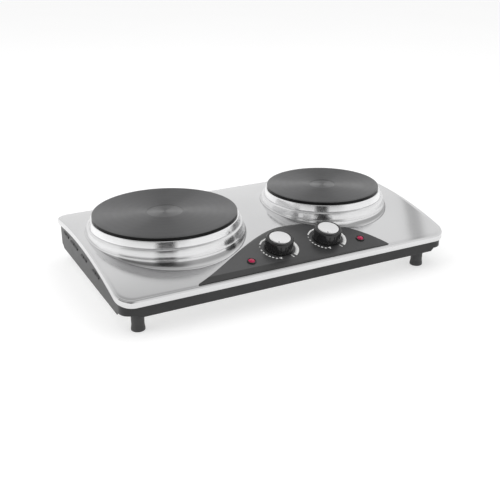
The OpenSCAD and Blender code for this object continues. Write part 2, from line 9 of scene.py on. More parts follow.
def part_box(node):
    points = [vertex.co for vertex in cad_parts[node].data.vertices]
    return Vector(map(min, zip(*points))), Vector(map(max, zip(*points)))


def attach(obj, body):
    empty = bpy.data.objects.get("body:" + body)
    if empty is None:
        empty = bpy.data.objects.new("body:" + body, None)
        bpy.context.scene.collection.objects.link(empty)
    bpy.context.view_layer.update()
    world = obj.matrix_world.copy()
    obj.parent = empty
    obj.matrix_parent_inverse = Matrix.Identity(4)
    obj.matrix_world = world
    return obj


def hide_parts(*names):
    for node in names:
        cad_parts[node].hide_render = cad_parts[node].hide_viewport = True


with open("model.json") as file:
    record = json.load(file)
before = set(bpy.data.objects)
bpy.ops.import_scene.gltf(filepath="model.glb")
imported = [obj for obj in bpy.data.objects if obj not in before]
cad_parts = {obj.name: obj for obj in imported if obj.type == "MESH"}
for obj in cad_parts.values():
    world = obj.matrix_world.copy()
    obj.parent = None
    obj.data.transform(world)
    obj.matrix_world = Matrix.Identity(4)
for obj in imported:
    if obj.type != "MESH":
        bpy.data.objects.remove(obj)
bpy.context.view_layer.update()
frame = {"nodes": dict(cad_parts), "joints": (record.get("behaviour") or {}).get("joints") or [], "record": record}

# A double table-top hob: finer surfaces for the CAD nodes that show, drawn in the CAD's own places.
# Lengths are millimetres in the CAD's frame, and angles are degrees, unless a comment says otherwise.
MM = 0.001


def box_mm(node):
    """A CAD node's lowest and highest corners, in millimetres."""
    lo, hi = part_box(node)
    return lo / MM, hi / MM


# ---- sizes that the frame gives ----

sheet_lo, sheet_hi = box_mm("top_sheet")
BODY_W = sheet_hi.x - sheet_lo.x
BODY_D = sheet_hi.y - sheet_lo.y
CREST_H = sheet_hi.z
COLLAR_TOP = box_mm("collar_large")[1].z
base_lo, base_hi = box_mm("base_housing")
BASE_W = base_hi.x - base_lo.x
BASE_D = base_hi.y - base_lo.y
FLOOR_H = box_mm("bottom_cover")[1].z

# ---- sizes that the design fixes ----

ARCH_R = 584.0
CREST_Y = 35.0
CORNER_R = 20.0
SKIRT_H = 8.5
SHEET_T = 0.8
SHELL_T = 0.75              # thickness of the drawn sheet, a little less than the CAD's
FOLD_R = 2.5
CREASE_W, CREASE_D = 0.9, 0.1
BASE_R = 14.0
BASE_T = 1.0
FLANGE_W = 20.0
LIP_H = 4.0
LIP_X = BASE_W / 2 - 16     # ends of the housing's hanging lips
LIP_Y = BASE_D / 2 - 16
VENTS = [(89.5, 9.5), (53, 13.5), (10.5, 9.5), (-38.5, 11.5)]    # middle, length of one of two slots
SLOT_H = 3.2
RECESS_T = 0.8
EDGE_H = 4.5                # iron edge that shows above the spill ring
IRON_GAP, IRON_H = 6.5, 18  # the iron under the sheet: narrower by, and its height
GROOVE_W, WEB_T = 5, 7      # outer wall of the heater's groove, and the iron over the groove
HUB_R, STUD_R = 24, 3.05
KNOB_R = 18.6
KNOB_H = 15.6
KNOB_FOOT = 1.6
CAP_R = 13.4
FLUTES = 16
FLUTE_D = 0.38
OFF_ANGLE = 35.0
LAMP_Y = -109.8
LAMP_H = 18
PANEL_T = 0.5
PLAY = 0.1


class Plate:
    """One hot plate's centre, radius and top, and the radius of its collar's wall, from the CAD nodes."""

    def __init__(self, size, recess_r):
        lo, hi = box_mm("hotplate_" + size)
        collar_lo, collar_hi = box_mm("collar_" + size)
        self.size = size
        self.recess_r = recess_r
        self.centre = Vector(((lo.x + hi.x) / 2, (lo.y + hi.y) / 2, 0))
        self.r = (hi.x - lo.x) / 2
        self.top = hi.z
        self.wall_r = (collar_hi.x - collar_lo.x) / 2


PLATES = [Plate("large", 22.0), Plate("small", 17.0)]


# ---- geometry helpers ----

def arch(y):
    """Height of the arched top at y."""
    return CREST_H - ARCH_R + math.sqrt(ARCH_R ** 2 - (y - CREST_Y) ** 2)


def lean(y):
    """Angle in radians by which the top leans forward at y."""
    return math.asin((CREST_Y - y) / ARCH_R)


def ramp(x, low, high):
    """0 below low, 1 above high, smooth between."""
    t = min(max((x - low) / (high - low), 0), 1)
    return t * t * (3 - 2 * t)


def arc(cx, cy, rx, ry, start, end, steps):
    """Points of an ellipse's arc, angles in degrees."""
    angles = [math.radians(start + (end - start) * k / steps) for k in range(steps + 1)]
    return [(cx + rx * math.cos(a), cy + ry * math.sin(a)) for a in angles]


def rounded(corners, steps=4):
    """A closed profile through corners of (radius, height, fillet); a fillet of 0 stays sharp."""
    almost_straight = math.radians(88)
    share = 1 / 2.05        # a fillet takes a little less than half of a side
    out = []
    for i, (*p, r) in enumerate(corners):
        p = Vector(p)
        before, after = (Vector(corners[j % len(corners)][:2]) - p for j in (i - 1, i + 1))
        half = before.angle(after) / 2
        if r == 0 or half > almost_straight:
            out.append(tuple(p))
            continue
        reach = min(r / math.tan(half), before.length * share, after.length * share)
        before, after = before.normalized(), after.normalized()
        middle = p + (before + after).normalized() * (reach / math.cos(half))
        a, b = p + before * reach - middle, p + after * reach - middle
        turn = a.angle_signed(b)
        for k in range(steps + 1):
            spin = Matrix.Rotation(-turn * k / steps, 2)
            out.append(tuple(middle + spin @ a))
    return out


def densified(profile, steps, wanted):
    """A closed profile with its sides split into steps where wanted(start, end) is true."""
    out = []
    for a, b in zip(profile, profile[1:] + profile[:1]):
        out.append(a)
        if wanted(a, b):
            out += [[p + (q - p) * k / steps for p, q in zip(a, b)] for k in range(1, steps)]
    return out


def turned(place, r, z, angle):
    """The point at a radius, height and angle in radians round the Z of place."""
    return place @ Vector((r * math.cos(angle), r * math.sin(angle), z))


WELD = 2e-6     # metres


class Shape:
    """Collects points in millimetres and faces, and turns them into a mesh object in metres."""

    def __init__(self):
        self.points = []
        self.faces = []

    def ring(self, points):
        """Adds points and returns their numbers."""
        start = len(self.points)
        self.points += [Vector(p) for p in points]
        return list(range(start, len(self.points)))

    def skin(self, rings, closed=True):
        """Quads between each ring and the next one; closed also joins each ring's ends."""
        for a, b in zip(rings, rings[1:]):
            count = len(a)
            for i in range(count if closed else count - 1):
                j = (i + 1) % count
                self.faces.append((a[i], a[j], b[j], b[i]))

    def lid(self, ring):
        self.faces.append(tuple(ring))

    def lathe(self, profile, segments, place):
        """Turns a closed profile of (radius, height) round Z; place moves the result."""
        angles = [math.tau * k / segments for k in range(segments)]
        rings = [self.ring([turned(place, r, z, a) for a in angles]) for r, z in profile]
        self.skin(rings + rings[:1])

    def bare(self, name):
        """A plain mesh object of the shape, in the scene."""
        mesh = bpy.data.meshes.new(name)
        mesh.from_pydata([p * MM for p in self.points], [], self.faces)
        thing = bpy.data.objects.new(name, mesh)
        bpy.context.scene.collection.objects.link(thing)
        return thing

    def piece(self, name, material, body, slot, replaces=(), sharp=32, wall=0):
        """The finished mesh object, welded, smooth but for edges over sharp degrees, riding its body.
        An open surface gets a wall of this thickness below it."""
        piece = self.bare(name)
        mesh = piece.data
        build = bmesh.new()
        build.from_mesh(mesh)
        bmesh.ops.remove_doubles(build, verts=build.verts, dist=WELD)
        bmesh.ops.dissolve_degenerate(build, edges=build.edges, dist=WELD / 2)
        if not wall:
            bmesh.ops.recalc_face_normals(build, faces=build.faces)
        build.to_mesh(mesh)
        build.free()
        mesh.shade_smooth()
        mesh.set_sharp_from_angle(angle=math.radians(sharp))
        mesh.materials.append(material)
        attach(piece, body)
        if replaces:
            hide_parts(*replaces)
        if wall:
            solid = piece.modifiers.new("Solidify", "SOLIDIFY")
            solid.thickness = wall * MM
            solid.offset = -1
        return piece


def on_top(x, y):
    """Matrix that stands a shape on the arched top at (x, y), its Z along the top's normal."""
    return Matrix.Translation((x, y, arch(y))) @ Matrix.Rotation(lean(y), 4, "X")


# ---- materials ----

def calculate(tree, operation, *inputs):
    """A Math node's result; each input is a socket or a number."""
    node = tree.nodes.new("ShaderNodeMath")
    node.operation = operation
    for i, value in enumerate(inputs):
        if isinstance(value, (int, float)):
            node.inputs[i].default_value = value
        else:
            tree.links.new(value, node.inputs[i])
    return node.outputs[0]


class Finish:
    """A Principled material with short ways to add procedural detail."""

    def __init__(self, name, **values):
        self.material = bpy.data.materials.new(name)
        self.material.use_nodes = True
        self.nodes = self.material.node_tree.nodes
        self.links = self.material.node_tree.links
        self.shader = self.nodes["Principled BSDF"]
        self.place = self.add("ShaderNodeTexCoord").outputs["Object"]
        for key, value in values.items():
            self.set(key, value)

    def add(self, kind, **values):
        node = self.nodes.new(kind)
        for key, value in values.items():
            setattr(node, key, value)
        return node

    def set(self, key, value):
        if isinstance(value, tuple) and len(value) == 3:
            value = (*value, 1)
        self.shader.inputs[key.replace("_", " ")].default_value = value

    def moved(self, offset=(0, 0, 0), stretch=(1, 1, 1)):
        """Object coordinates, shifted by offset in metres and then stretched."""
        node = self.add("ShaderNodeMapping")
        node.inputs["Scale"].default_value = stretch
        node.inputs["Location"].default_value = [-o * s for o, s in zip(offset, stretch)]
        self.links.new(self.place, node.inputs["Vector"])
        return node.outputs["Vector"]

    def noise(self, scale, detail, stretch=(1, 1, 1)):
        node = self.add("ShaderNodeTexNoise")
        node.inputs["Scale"].default_value = scale
        node.inputs["Detail"].default_value = detail
        self.links.new(self.moved(stretch=stretch), node.inputs["Vector"])
        return node.outputs["Fac"]

    def rings(self, centre, scale, distortion=0.4):
        """Fine concentric rings round a vertical axis through centre, in millimetres."""
        node = self.add("ShaderNodeTexWave", wave_type="RINGS", rings_direction="Z")
        node.inputs["Scale"].default_value = scale
        node.inputs["Distortion"].default_value = distortion
        node.inputs["Detail"].default_value = 1
        self.links.new(self.moved(offset=centre * MM), node.inputs["Vector"])
        return node.outputs["Fac"]

    def ranged(self, socket, low, high, low_in=0.3, high_in=0.7):
        """The socket's stretch from low_in to high_in, mapped to low to high and held beyond it."""
        node = self.add("ShaderNodeMapRange")
        for key, value in (("From Min", low_in), ("From Max", high_in), ("To Min", low), ("To Max", high)):
            node.inputs[key].default_value = value
        self.links.new(socket, node.inputs["Value"])
        return node.outputs["Result"]

    def mixed(self, factor, a, b):
        """Colour a where factor is 0 and b where it is 1; either may be a socket."""
        node = self.add("ShaderNodeMix", data_type="RGBA")
        self.links.new(factor, node.inputs["Factor"])
        for key, value in (("A", a), ("B", b)):
            target = [i for i in node.inputs if i.name == key and i.type == "RGBA"][0]
            if isinstance(value, tuple):
                target.default_value = (*value, 1)
            else:
                self.links.new(value, target)
        return [o for o in node.outputs if o.type == "RGBA"][0]

    def calculated(self, operation, *inputs):
        return calculate(self.material.node_tree, operation, *inputs)

    def distance(self, centre):
        """Distance in metres from a vertical axis through centre, which is in millimetres."""
        node = self.add("ShaderNodeVectorMath", operation="LENGTH")
        self.links.new(self.moved(offset=centre * MM, stretch=(1, 1, 0)), node.inputs[0])
        return node.outputs["Value"]

    def beyond(self, plate, stretch, low, high):
        """Goes from low to high over a stretch of distances outside the wall of a plate's collar."""
        near, far = ((plate.wall_r + d) * MM for d in stretch)
        return self.ranged(self.distance(plate.centre), low, high, near, far)

    def along(self, axis):
        """One object coordinate in metres."""
        node = self.add("ShaderNodeSeparateXYZ")
        self.links.new(self.place, node.inputs[0])
        return node.outputs[axis]

    def colour(self, socket):
        self.links.new(socket, self.shader.inputs["Base Color"])

    def roughness(self, socket, low, high):
        self.links.new(self.ranged(socket, low, high), self.shader.inputs["Roughness"])

    def bump(self, socket, depth, strength=0.6):
        """Raises the surface by socket times depth millimetres; calls add up."""
        node = self.add("ShaderNodeBump")
        node.inputs["Distance"].default_value = depth * MM
        node.inputs["Strength"].default_value = strength
        self.links.new(socket, node.inputs["Height"])
        normal = self.shader.inputs["Normal"]
        if normal.links:
            self.links.new(normal.links[0].from_socket, node.inputs["Normal"])
        self.links.new(node.outputs["Normal"], normal)

    def grain_along(self, axis, amount, turn=0.0):
        """Anisotropic gloss whose tangent runs round the given axis, turned by a part of a circle."""
        node = self.add("ShaderNodeTangent", direction_type="RADIAL", axis=axis)
        self.links.new(node.outputs["Tangent"], self.shader.inputs["Tangent"])
        self.set("Anisotropic", amount)
        self.set("Anisotropic_Rotation", turn)

    def edges(self):
        """0 on flat faces, 1 along convex edges, where wear shows."""
        return self.ranged(self.add("ShaderNodeNewGeometry").outputs["Pointiness"], 0, 1, 0.52, 0.6)


ACROSS = 0.25   # a quarter turn of the tangent, for grooves that run round the axis


def plain_finish(name, colour, vary=0.12, rough=(0.35, 0.5), grain=900, depth=0.03, worn=None,
                 stretch=(1, 1, 1), **values):
    """Cast, moulded, plated or painted: cloudy colour, fine grain and edges rubbed to the worn colour."""
    finish = Finish(name, **values)
    clouds = finish.noise(35, 4)
    dark, light = (tuple(c * (1 + change) for c in colour) for change in (-vary, vary))
    tone = finish.mixed(finish.ranged(clouds, 0, 1), dark, light)
    if worn:
        tone = finish.mixed(finish.edges(), tone, worn)
    finish.colour(tone)
    fine = finish.noise(grain, 2, stretch)
    finish.roughness(fine, *rough)
    finish.bump(fine, depth)
    return finish


BRUSHING_FADE = (5, 9)      # brushing starts between these distances outside a collar's wall
FILLET_SHADE_START = (0.4, 0.8)     # the fillet's painted shade, as distances outside the wall
FILLET_SHADE_END = (2.2, 4.8)
GRAIN_FADE = (0.6, 4)


def brushed_sheet():
    """Brushed from side to side; the brushing fades out beside the polished collars."""
    finish = Finish("brushed_sheet", Metallic=1.0)
    streaks = finish.noise(1, 4, (25, 2600, 900))
    clouds = finish.noise(9, 2)
    base = finish.mixed(finish.ranged(clouds, 0, 1), (0.65, 0.65, 0.655), (0.70, 0.70, 0.705))
    finish.colour(finish.mixed(finish.ranged(streaks, 0, 0.3), base, (0.76, 0.76, 0.765)))
    finish.roughness(streaks, 0.10, 0.13)
    finish.bump(streaks, 0.003, 0.2)
    finish.grain_along("X", 1.0)
    outside = [finish.beyond(plate, BRUSHING_FADE, 0, 1) for plate in PLATES]
    finish.links.new(finish.calculated("MULTIPLY", *outside), finish.shader.inputs["Anisotropic"])
    return finish.material


def turned_collar(plate):
    """The same steel, pressed up and polished round the plate's axis, with painted shade darkening its fillet."""
    finish = Finish("turned_collar_" + plate.size, Metallic=1.0)
    streaks = finish.noise(1, 3, (90, 90, 2600))
    tone = finish.mixed(finish.ranged(streaks, 0, 1), (0.75, 0.75, 0.755), (0.82, 0.82, 0.825))
    # Painted shade: the fillet just outside the collar's wall is painted darker.
    fillet_shade = finish.calculated("MULTIPLY", finish.beyond(plate, FILLET_SHADE_START, 0, 1),
                             finish.beyond(plate, FILLET_SHADE_END, 1, 0))
    finish.colour(finish.mixed(fillet_shade, tone, (0.37, 0.37, 0.372)))
    finish.roughness(streaks, 0.17, 0.23)
    finish.bump(streaks, 0.003, 0.3)
    turned = 0.9
    finish.grain_along("Z", turned, ACROSS)
    finish.links.new(finish.beyond(plate, GRAIN_FADE, turned, 0), finish.shader.inputs["Anisotropic"])
    return finish.material


def polished_ring():
    """Polished stainless steel with faint turning lines."""
    finish = Finish("polished_ring", Metallic=1.0)
    streaks = finish.noise(1, 3, (60, 60, 4200))
    finish.colour(finish.mixed(finish.ranged(streaks, 0, 1), (0.83, 0.83, 0.835), (0.90, 0.90, 0.905)))
    finish.roughness(streaks, 0.15, 0.2)
    finish.bump(finish.noise(420, 2), 0.006, 0.2)
    finish.grain_along("Z", 0.8, ACROSS)
    return finish.material


def turned_iron(plate):
    """Cast iron, turned on top: concentric lines, a lighter recess and a black side."""
    finish = Finish("turned_iron_" + plate.size, Metallic=0.75, Specular_IOR_Level=0.5)
    light = (0.20, 0.20, 0.202)
    rings = finish.rings(plate.centre, 260)
    broad = finish.rings(plate.centre, 32, 1.5)
    clouds = finish.noise(40, 4)
    tone = finish.mixed(finish.ranged(clouds, 0, 1), (0.135, 0.136, 0.138), (0.160, 0.160, 0.162))
    tone = finish.mixed(finish.ranged(broad, 0, 0.12, 0, 1), tone, light)
    tone = finish.mixed(finish.edges(), tone, (0.16, 0.16, 0.16))
    inside, outside = plate.recess_r * MM, (plate.recess_r + 1) * MM
    tone = finish.mixed(finish.ranged(finish.distance(plate.centre), 1, 0, inside, outside), tone, light)
    low, high = (plate.top - 1.4) * MM, (plate.top - 0.9) * MM
    side = finish.ranged(finish.along("Z"), 1, 0, low, high)
    finish.colour(finish.mixed(side, tone, (0.012, 0.012, 0.012)))
    finish.roughness(clouds, 0.38, 0.48)
    finish.bump(rings, 0.02, 0.12)
    finish.bump(finish.noise(1600, 2), 0.02, 0.25)
    finish.grain_along("Z", 1.0, ACROSS)
    return finish.material


def satin_cap():
    """Pale satin metal with grain from front to back."""
    finish = Finish("satin_cap", Metallic=1.0)
    grain = finish.noise(1, 3, (3000, 160, 300))
    finish.colour(finish.mixed(finish.ranged(grain, 0, 1), (0.88, 0.88, 0.885), (0.95, 0.95, 0.955)))
    finish.roughness(grain, 0.28, 0.4)
    finish.bump(grain, 0.008, 0.4)
    return finish.material


def panel_paint():
    """Satin black with painted light: greyer to the left as a painted reflection, and a darker band of painted
    shade along the front of that half.
    """
    finish = Finish("panel_paint")
    x, y = finish.along("X"), finish.along("Y")
    clouds = finish.noise(35, 4)
    tone = finish.mixed(finish.ranged(clouds, 0, 1), (0.036, 0.036, 0.037), (0.044, 0.044, 0.045))
    # Painted reflection: the black is made greyer towards the left.
    greyer = finish.ranged(x, 1, 0, -110 * MM, 30 * MM)
    tone = finish.mixed(greyer, tone, (0.088, 0.088, 0.089))
    # Painted shade: a darker band along the front of the left half, which is also a little duller.
    front = finish.ranged(y, 1, 0, -121.2 * MM, -120.6 * MM)
    left = finish.ranged(x, 1, 0, -30 * MM, 30 * MM)
    shade_band = finish.calculated("MULTIPLY", front, left)
    finish.colour(finish.mixed(shade_band, tone, (0.030, 0.030, 0.030)))
    grain = finish.noise(2200, 2)
    duller = finish.calculated("MULTIPLY", shade_band, 0.08)
    rough = finish.calculated("ADD", finish.ranged(grain, 0.28, 0.36), duller)
    finish.links.new(rough, finish.shader.inputs["Roughness"])
    finish.bump(grain, 0.006)
    return finish.material


def red_lens():
    """Red moulded plastic that lets a little light through."""
    finish = Finish("red_lens", Transmission_Weight=0.2, IOR=1.45, Coat_Weight=0.15, Coat_Roughness=0.05)
    swirl = finish.noise(260, 2)
    finish.colour(finish.mixed(finish.ranged(swirl, 0, 1), (0.44, 0.0, 0.05), (0.66, 0.0, 0.10)))
    finish.roughness(swirl, 0.06, 0.14)
    finish.bump(swirl, 0.02, 0.3)
    return finish.material


def wire_sleeve(name, colour, stripe=None):
    """Silicone sleeve, with slanting bands of a second colour if stripe gives one."""
    finish = plain_finish(name, colour, 0.08, (0.4, 0.55), 1200, 0.02)
    if stripe:
        bands = finish.add("ShaderNodeTexWave", wave_type="BANDS", bands_direction="DIAGONAL")
        bands.inputs["Scale"].default_value = 90
        finish.links.new(finish.place, bands.inputs["Vector"])
        sharp = finish.ranged(bands.outputs["Fac"], 0, 1, 0.45, 0.55)
        finish.colour(finish.mixed(sharp, colour, stripe))
    return finish.material


BRUSHED_SHEET = brushed_sheet()
POLISHED_RING = polished_ring()
PANEL_PAINT = panel_paint()
PRINT_WHITE = plain_finish("print_white", (0.90, 0.90, 0.89), 0.05, (0.4, 0.5), 1800, 0.004).material
POWDER_COAT = plain_finish("powder_coat", (0.034, 0.034, 0.0345), 0.12, (0.34, 0.42), 1100, 0.04,
                           Specular_IOR_Level=0.3).material
FOOT_PLASTIC = plain_finish("foot_plastic", (0.040, 0.040, 0.041), 0.12, (0.45, 0.55), 900, 0.04,
                            worn=(0.08, 0.08, 0.08)).material
KNOB_PLASTIC = plain_finish("knob_plastic", (0.016, 0.016, 0.0165), 0.1, (0.12, 0.18), 700, 0.01,
                            worn=(0.035, 0.035, 0.035)).material
BEZEL_PLASTIC = plain_finish("bezel_plastic", (0.012, 0.012, 0.012), 0.1, (0.15, 0.22), 900, 0.01,
                             worn=(0.03, 0.03, 0.03)).material
SATIN_CAP = satin_cap()
RED_LENS = red_lens()
GLAND_RUBBER = plain_finish("gland_rubber", (0.022, 0.022, 0.022), 0.15, (0.6, 0.75), 800, 0.05).material
GREEN, YELLOW = (0.10, 0.42, 0.06), (0.75, 0.62, 0.05)

# The record's slots of the CAD nodes. The plates have their own finishes when a piece replaces them.
SLOT_MATERIALS = {
    "sheet_steel": BRUSHED_SHEET,
    "panel_black": PANEL_PAINT,
    "housing_black": POWDER_COAT,
    "plate_iron": POWDER_COAT,
    "ring_steel": POLISHED_RING,
    "foot_black": FOOT_PLASTIC,
    "knob_black": KNOB_PLASTIC,
    "cap_metal": SATIN_CAP,
    "lens_red": RED_LENS,
    "bezel_black": BEZEL_PLASTIC,
    "gland_rubber": GLAND_RUBBER,
    "gland_nut_black": plain_finish("gland_nut_plastic", (0.03, 0.03, 0.03), 0.1, (0.4, 0.5), 900,
                                    0.03).material,
    "zinc_steel": plain_finish("zinc_plate", (0.50, 0.50, 0.48), 0.1, (0.32, 0.45), 500, 0.02,
                               worn=(0.66, 0.66, 0.65), Metallic=1.0).material,
    "brass": plain_finish("brass_bright", (0.70, 0.50, 0.20), 0.12, (0.22, 0.36), 600, 0.02,
                          worn=(0.80, 0.62, 0.32), Metallic=1.0).material,
    "terminal_ceramic": plain_finish("terminal_ceramic", (0.78, 0.75, 0.68), 0.06, (0.5, 0.65), 900,
                                     0.04).material,
    "heater_ceramic": plain_finish("heater_ceramic", (0.66, 0.63, 0.56), 0.12, (0.75, 0.9), 500,
                                   0.12).material,
    "wire_brown": wire_sleeve("wire_brown", (0.19, 0.07, 0.03)),
    "wire_blue": wire_sleeve("wire_blue", (0.03, 0.09, 0.42)),
    "wire_green_yellow": wire_sleeve("wire_green_yellow", GREEN, YELLOW),
}


def dress_cad_nodes():
    """Gives every CAD node the material of its slot, those included that a piece replaces."""
    for part in frame["record"]["subparts"]:
        node = frame["nodes"][part["node"]]
        material = SLOT_MATERIALS[part["material_slot"]]
        if not node.material_slots:
            node.data.materials.append(material)
        for slot in node.material_slots:
            slot.material = material


# ---- the sheet with its collars ----

HALF_STEPS, SIDE_STEPS, CORNER_STEPS = 58, 56, 9     # on half a long side, a short side and a corner
SEAM_STEPS = 60
FIELD_STEPS = (0, 0.03, 0.08, 0.16, 0.28, 0.42, 0.56, 0.7, 0.82, 0.92, 1)
OPENING_GAP = 4.0
SHOULDER_W, SHOULDER_H = 2.7, 2.0
WALL_LEAN = 1.7
BEAD_R, BEAD_H = 0.4, 0.5
FOOT_CREST = 67.2       # height of the wall's foot at the crest
FOOT_FOLLOW = 0.28      # how far the foot follows the arch's fall
FOOT_RISE = 0.9         # least height of the foot above the sheet
FILLET_SLOPE = 0.65     # width of the fillet for its height
FILLET_START = 33
PANEL_SIDE = (-150, -138, -100, -86)    # start and end of the small collar's stretch beside the panel
PANEL_FILLET = 2.4                      # the fillet's greatest width there


def sheet_outline(inset):
    """The sheet's outline, narrowed by inset, anticlockwise from the middle of the front. Every inset
    gives the same number of points, and they match."""
    w, d, r = BODY_W / 2 - inset, BODY_D / 2 - inset, CORNER_R - inset
    hx, hy = w - r, d - r
    right = [(hx * k / HALF_STEPS, -d) for k in range(HALF_STEPS)]
    right += arc(hx, -hy, r, r, -90, 0, CORNER_STEPS)[:-1]
    right += [(w, -hy + 2 * hy * k / SIDE_STEPS) for k in range(SIDE_STEPS)]
    right += arc(hx, hy, r, r, 0, 90, CORNER_STEPS)[:-1]
    right += [(hx - hx * k / HALF_STEPS, d) for k in range(HALF_STEPS)]
    return right + [(-x, -y) for x, y in right]


def collar_foot(plate, angle):
    """Height of the wall's foot at an angle in radians, and height and width of the fillet below it."""
    surface = arch(plate.centre.y + plate.wall_r * math.sin(angle))
    foot = max(FOOT_CREST - FOOT_FOLLOW * (FOOT_CREST - surface), surface + FOOT_RISE)
    height = foot - surface
    width = max(FILLET_SLOPE * height, FOOT_RISE)
    if plate.size == "small":
        turn = math.degrees(angle)
        near_panel = ramp(turn, *PANEL_SIDE[:2]) * (1 - ramp(turn, *PANEL_SIDE[2:]))
        width += (min(width, PANEL_FILLET) - width) * near_panel
    return foot, height, width


def collar_profile(plate, angle):
    """Radius and height from the plate's opening out to the fillet's foot, at an angle in radians."""
    wall_r = plate.wall_r
    foot, height, width = collar_foot(plate, angle)
    profile = [(plate.r - OPENING_GAP, COLLAR_TOP), (plate.r + 3, COLLAR_TOP + 0.1)]
    profile += arc(wall_r - SHOULDER_W - WALL_LEAN, COLLAR_TOP + 0.3 - SHOULDER_H,
                   SHOULDER_W, SHOULDER_H, 90, 12, 6)
    top_z = profile[-1][1]
    profile += [(wall_r - WALL_LEAN * (1 - k / 3), top_z + (foot + 0.8 - top_z) * k / 3) for k in (1, 2)]
    profile += [(wall_r - 0.05, foot + 0.9)]
    bead = BEAD_R * ramp(height, 0.8, 2.5)      # it runs out where the wall's foot nears the sheet
    profile += arc(wall_r - 0.02, foot + 0.2, bead, BEAD_H, 45, -60, 5)
    start = math.radians(FILLET_START)
    for k in range(9):
        a = start + (math.pi / 2 - start) * k / 8
        r = wall_r + width * (1 - math.cos(a) / math.cos(start))
        surface = arch(plate.centre.y + r * math.sin(angle))
        rise = (1 - math.sin(a)) / (1 - math.sin(start))
        profile.append((r, surface + (height - BEAD_H / 2) * rise))
    return profile


def collar_and_field(plate, edge):
    """Points from the plate's opening to the collar's foot, and on from there to each point of the edge
    round that half of the sheet."""
    collar, field = [], []
    for x, y in edge:
        angle = math.atan2(y - plate.centre.y, x - plate.centre.x)
        collar.append([plate.centre + Vector((r * math.cos(angle), r * math.sin(angle), z))
                       for r, z in collar_profile(plate, angle)])
        foot = Vector(collar[-1][-1][:2])
        row = [foot.lerp(Vector((x, y)), t) for t in FIELD_STEPS]
        field.append([(p.x, p.y, arch(p.y)) for p in row])
    return collar, field


def fold_steps():
    """Inset and drop of each ring from the crease along the edge, over the fold and down the skirt."""
    crease = [(FOLD_R + CREASE_W * (1 - k / 4), CREASE_D * math.sin(math.pi * k / 4)) for k in range(5)]
    angles = [math.radians(15 * k) for k in range(1, 7)]
    fold = [(FOLD_R * (1 - math.sin(a)), FOLD_R * (1 - math.cos(a))) for a in angles]
    skirt = [(0, SKIRT_H * 0.55), (0, SKIRT_H - 0.7), (0.12, SKIRT_H - 0.2), (0.4, SKIRT_H)]
    return crease + fold + skirt


def top_sheet():
    """The arched sheet in two halves that meet at a seam, one round each plate, and its collars."""
    sheet = Shape()
    fold = sheet_outline(FOLD_R + CREASE_W)
    half = len(fold) // 2
    y_front, y_rear = fold[0][1], fold[half][1]
    seam = [(0, y_front + (y_rear - y_front) * k / SEAM_STEPS) for k in range(1, SEAM_STEPS)]
    edges = [fold[half:] + fold[:1] + seam, fold[:half + 1] + seam[::-1]]
    for plate, edge in zip(PLATES, edges):
        collar, field = collar_and_field(plate, edge)
        sheet.skin([sheet.ring(ring) for ring in zip(*field)][::-1])
        shell = Shape()
        shell.skin([shell.ring(ring) for ring in zip(*collar)][::-1])
        shell.piece("collar_shell_" + plate.size, turned_collar(plate), "casing", "sheet_steel",
                    ("collar_" + plate.size,), sharp=50, wall=SHELL_T)
    rings = [sheet.ring([(x, y, arch(y) - drop) for x, y in sheet_outline(inset)])
             for inset, drop in fold_steps()]
    sheet.skin(rings[::-1])
    sheet.piece("top_sheet_shell", BRUSHED_SHEET, "casing", "sheet_steel", ("top_sheet",), sharp=50,
                wall=SHELL_T)


# ---- the hot plates and their rings ----

AXIS_R = 0.01       # radius of a lathed shape's pinhole, which keeps its rings whole


def hot_plate(plate):
    """Iron plate with a round recess above, and the heater's groove and the stud's hub below."""
    shape = Shape()
    r, top = plate.r, plate.top
    recess, lip, step = top - RECESS_T, top - EDGE_H, top - 2 * EDGE_H
    web, foot = top - WEB_T, top - IRON_H
    wall = r - IRON_GAP
    groove = wall - GROOVE_W
    corners = [  # radius, height, fillet
        (AXIS_R, recess, 0), (plate.recess_r, recess, 0.5), (plate.recess_r + 1.5, top, 1.0), (r, top, 0.9),
        (r, lip, 0.3), (r - 2.2, lip, 0), (r - 2.2, step, 0), (wall, step, 0.5), (wall, foot, 0.5),
        (groove, foot, 0.5), (groove, web, 0.5), (HUB_R, web, 0.5), (HUB_R, foot, 0.5), (STUD_R, foot, 0),
        (STUD_R, web, 0), (AXIS_R, web, 0)]
    profile = densified(rounded(corners), 12, lambda a, b: min(a[1], b[1]) > top - 0.01)
    shape.lathe(profile, 160, Matrix.Translation(plate.centre))
    shape.piece("hot_plate_" + plate.size, turned_iron(plate), "casing", "plate_iron",
                ("hotplate_" + plate.size,))


def spill_ring(plate):
    """Ring that grips the iron's edge and flares out to stand on the collar."""
    shape = Shape()
    r, z, seat = plate.r, plate.top - EDGE_H - PLAY, COLLAR_TOP + 0.2
    corners = [
        (r - 2, z, 0.1), (r + 1.3, z, 0.6), (r + 2.1, z - 0.7, 0.8), (r + 4.05, seat + 0.75, 0.2),
        (r + 4.0, seat + 0.4, 0.1), (r + 3.75, seat + 0.35, 0.1), (r + 3.6, seat, 0), (r + 3.2, seat, 0),
        (r + 3.2, seat + 0.6, 0.1), (r + 1.25, z - 1, 0.3), (r - 2, z - 0.8, 0.1)]
    shape.lathe(rounded(corners), 192, Matrix.Translation(plate.centre))
    shape.piece("polished_spill_ring_" + plate.size, POLISHED_RING, "casing", "ring_steel",
                ("spill_ring_" + plate.size,))


# ---- the control panel ----

PANEL_LEFT, PANEL_RIGHT, PANEL_FRONT = -133.0, 134.5, -131.2
PANEL_CROWN = (18.0, -51.2)
PANEL_COLUMNS, PANEL_ROWS = 150, 20
BEVEL_W, BEVEL_D = 0.15, 0.12
TIP_R = 1.8
NOTCH_CLEAR = 2.5


def cubic(a, b, c, d, t):
    """The point at t on the cubic curve from a to d, drawn towards b and c."""
    s = 1 - t
    return [s ** 3 * p + 3 * s * s * t * q + 3 * s * t * t * u + t ** 3 * v for p, q, u, v in zip(a, b, c, d)]


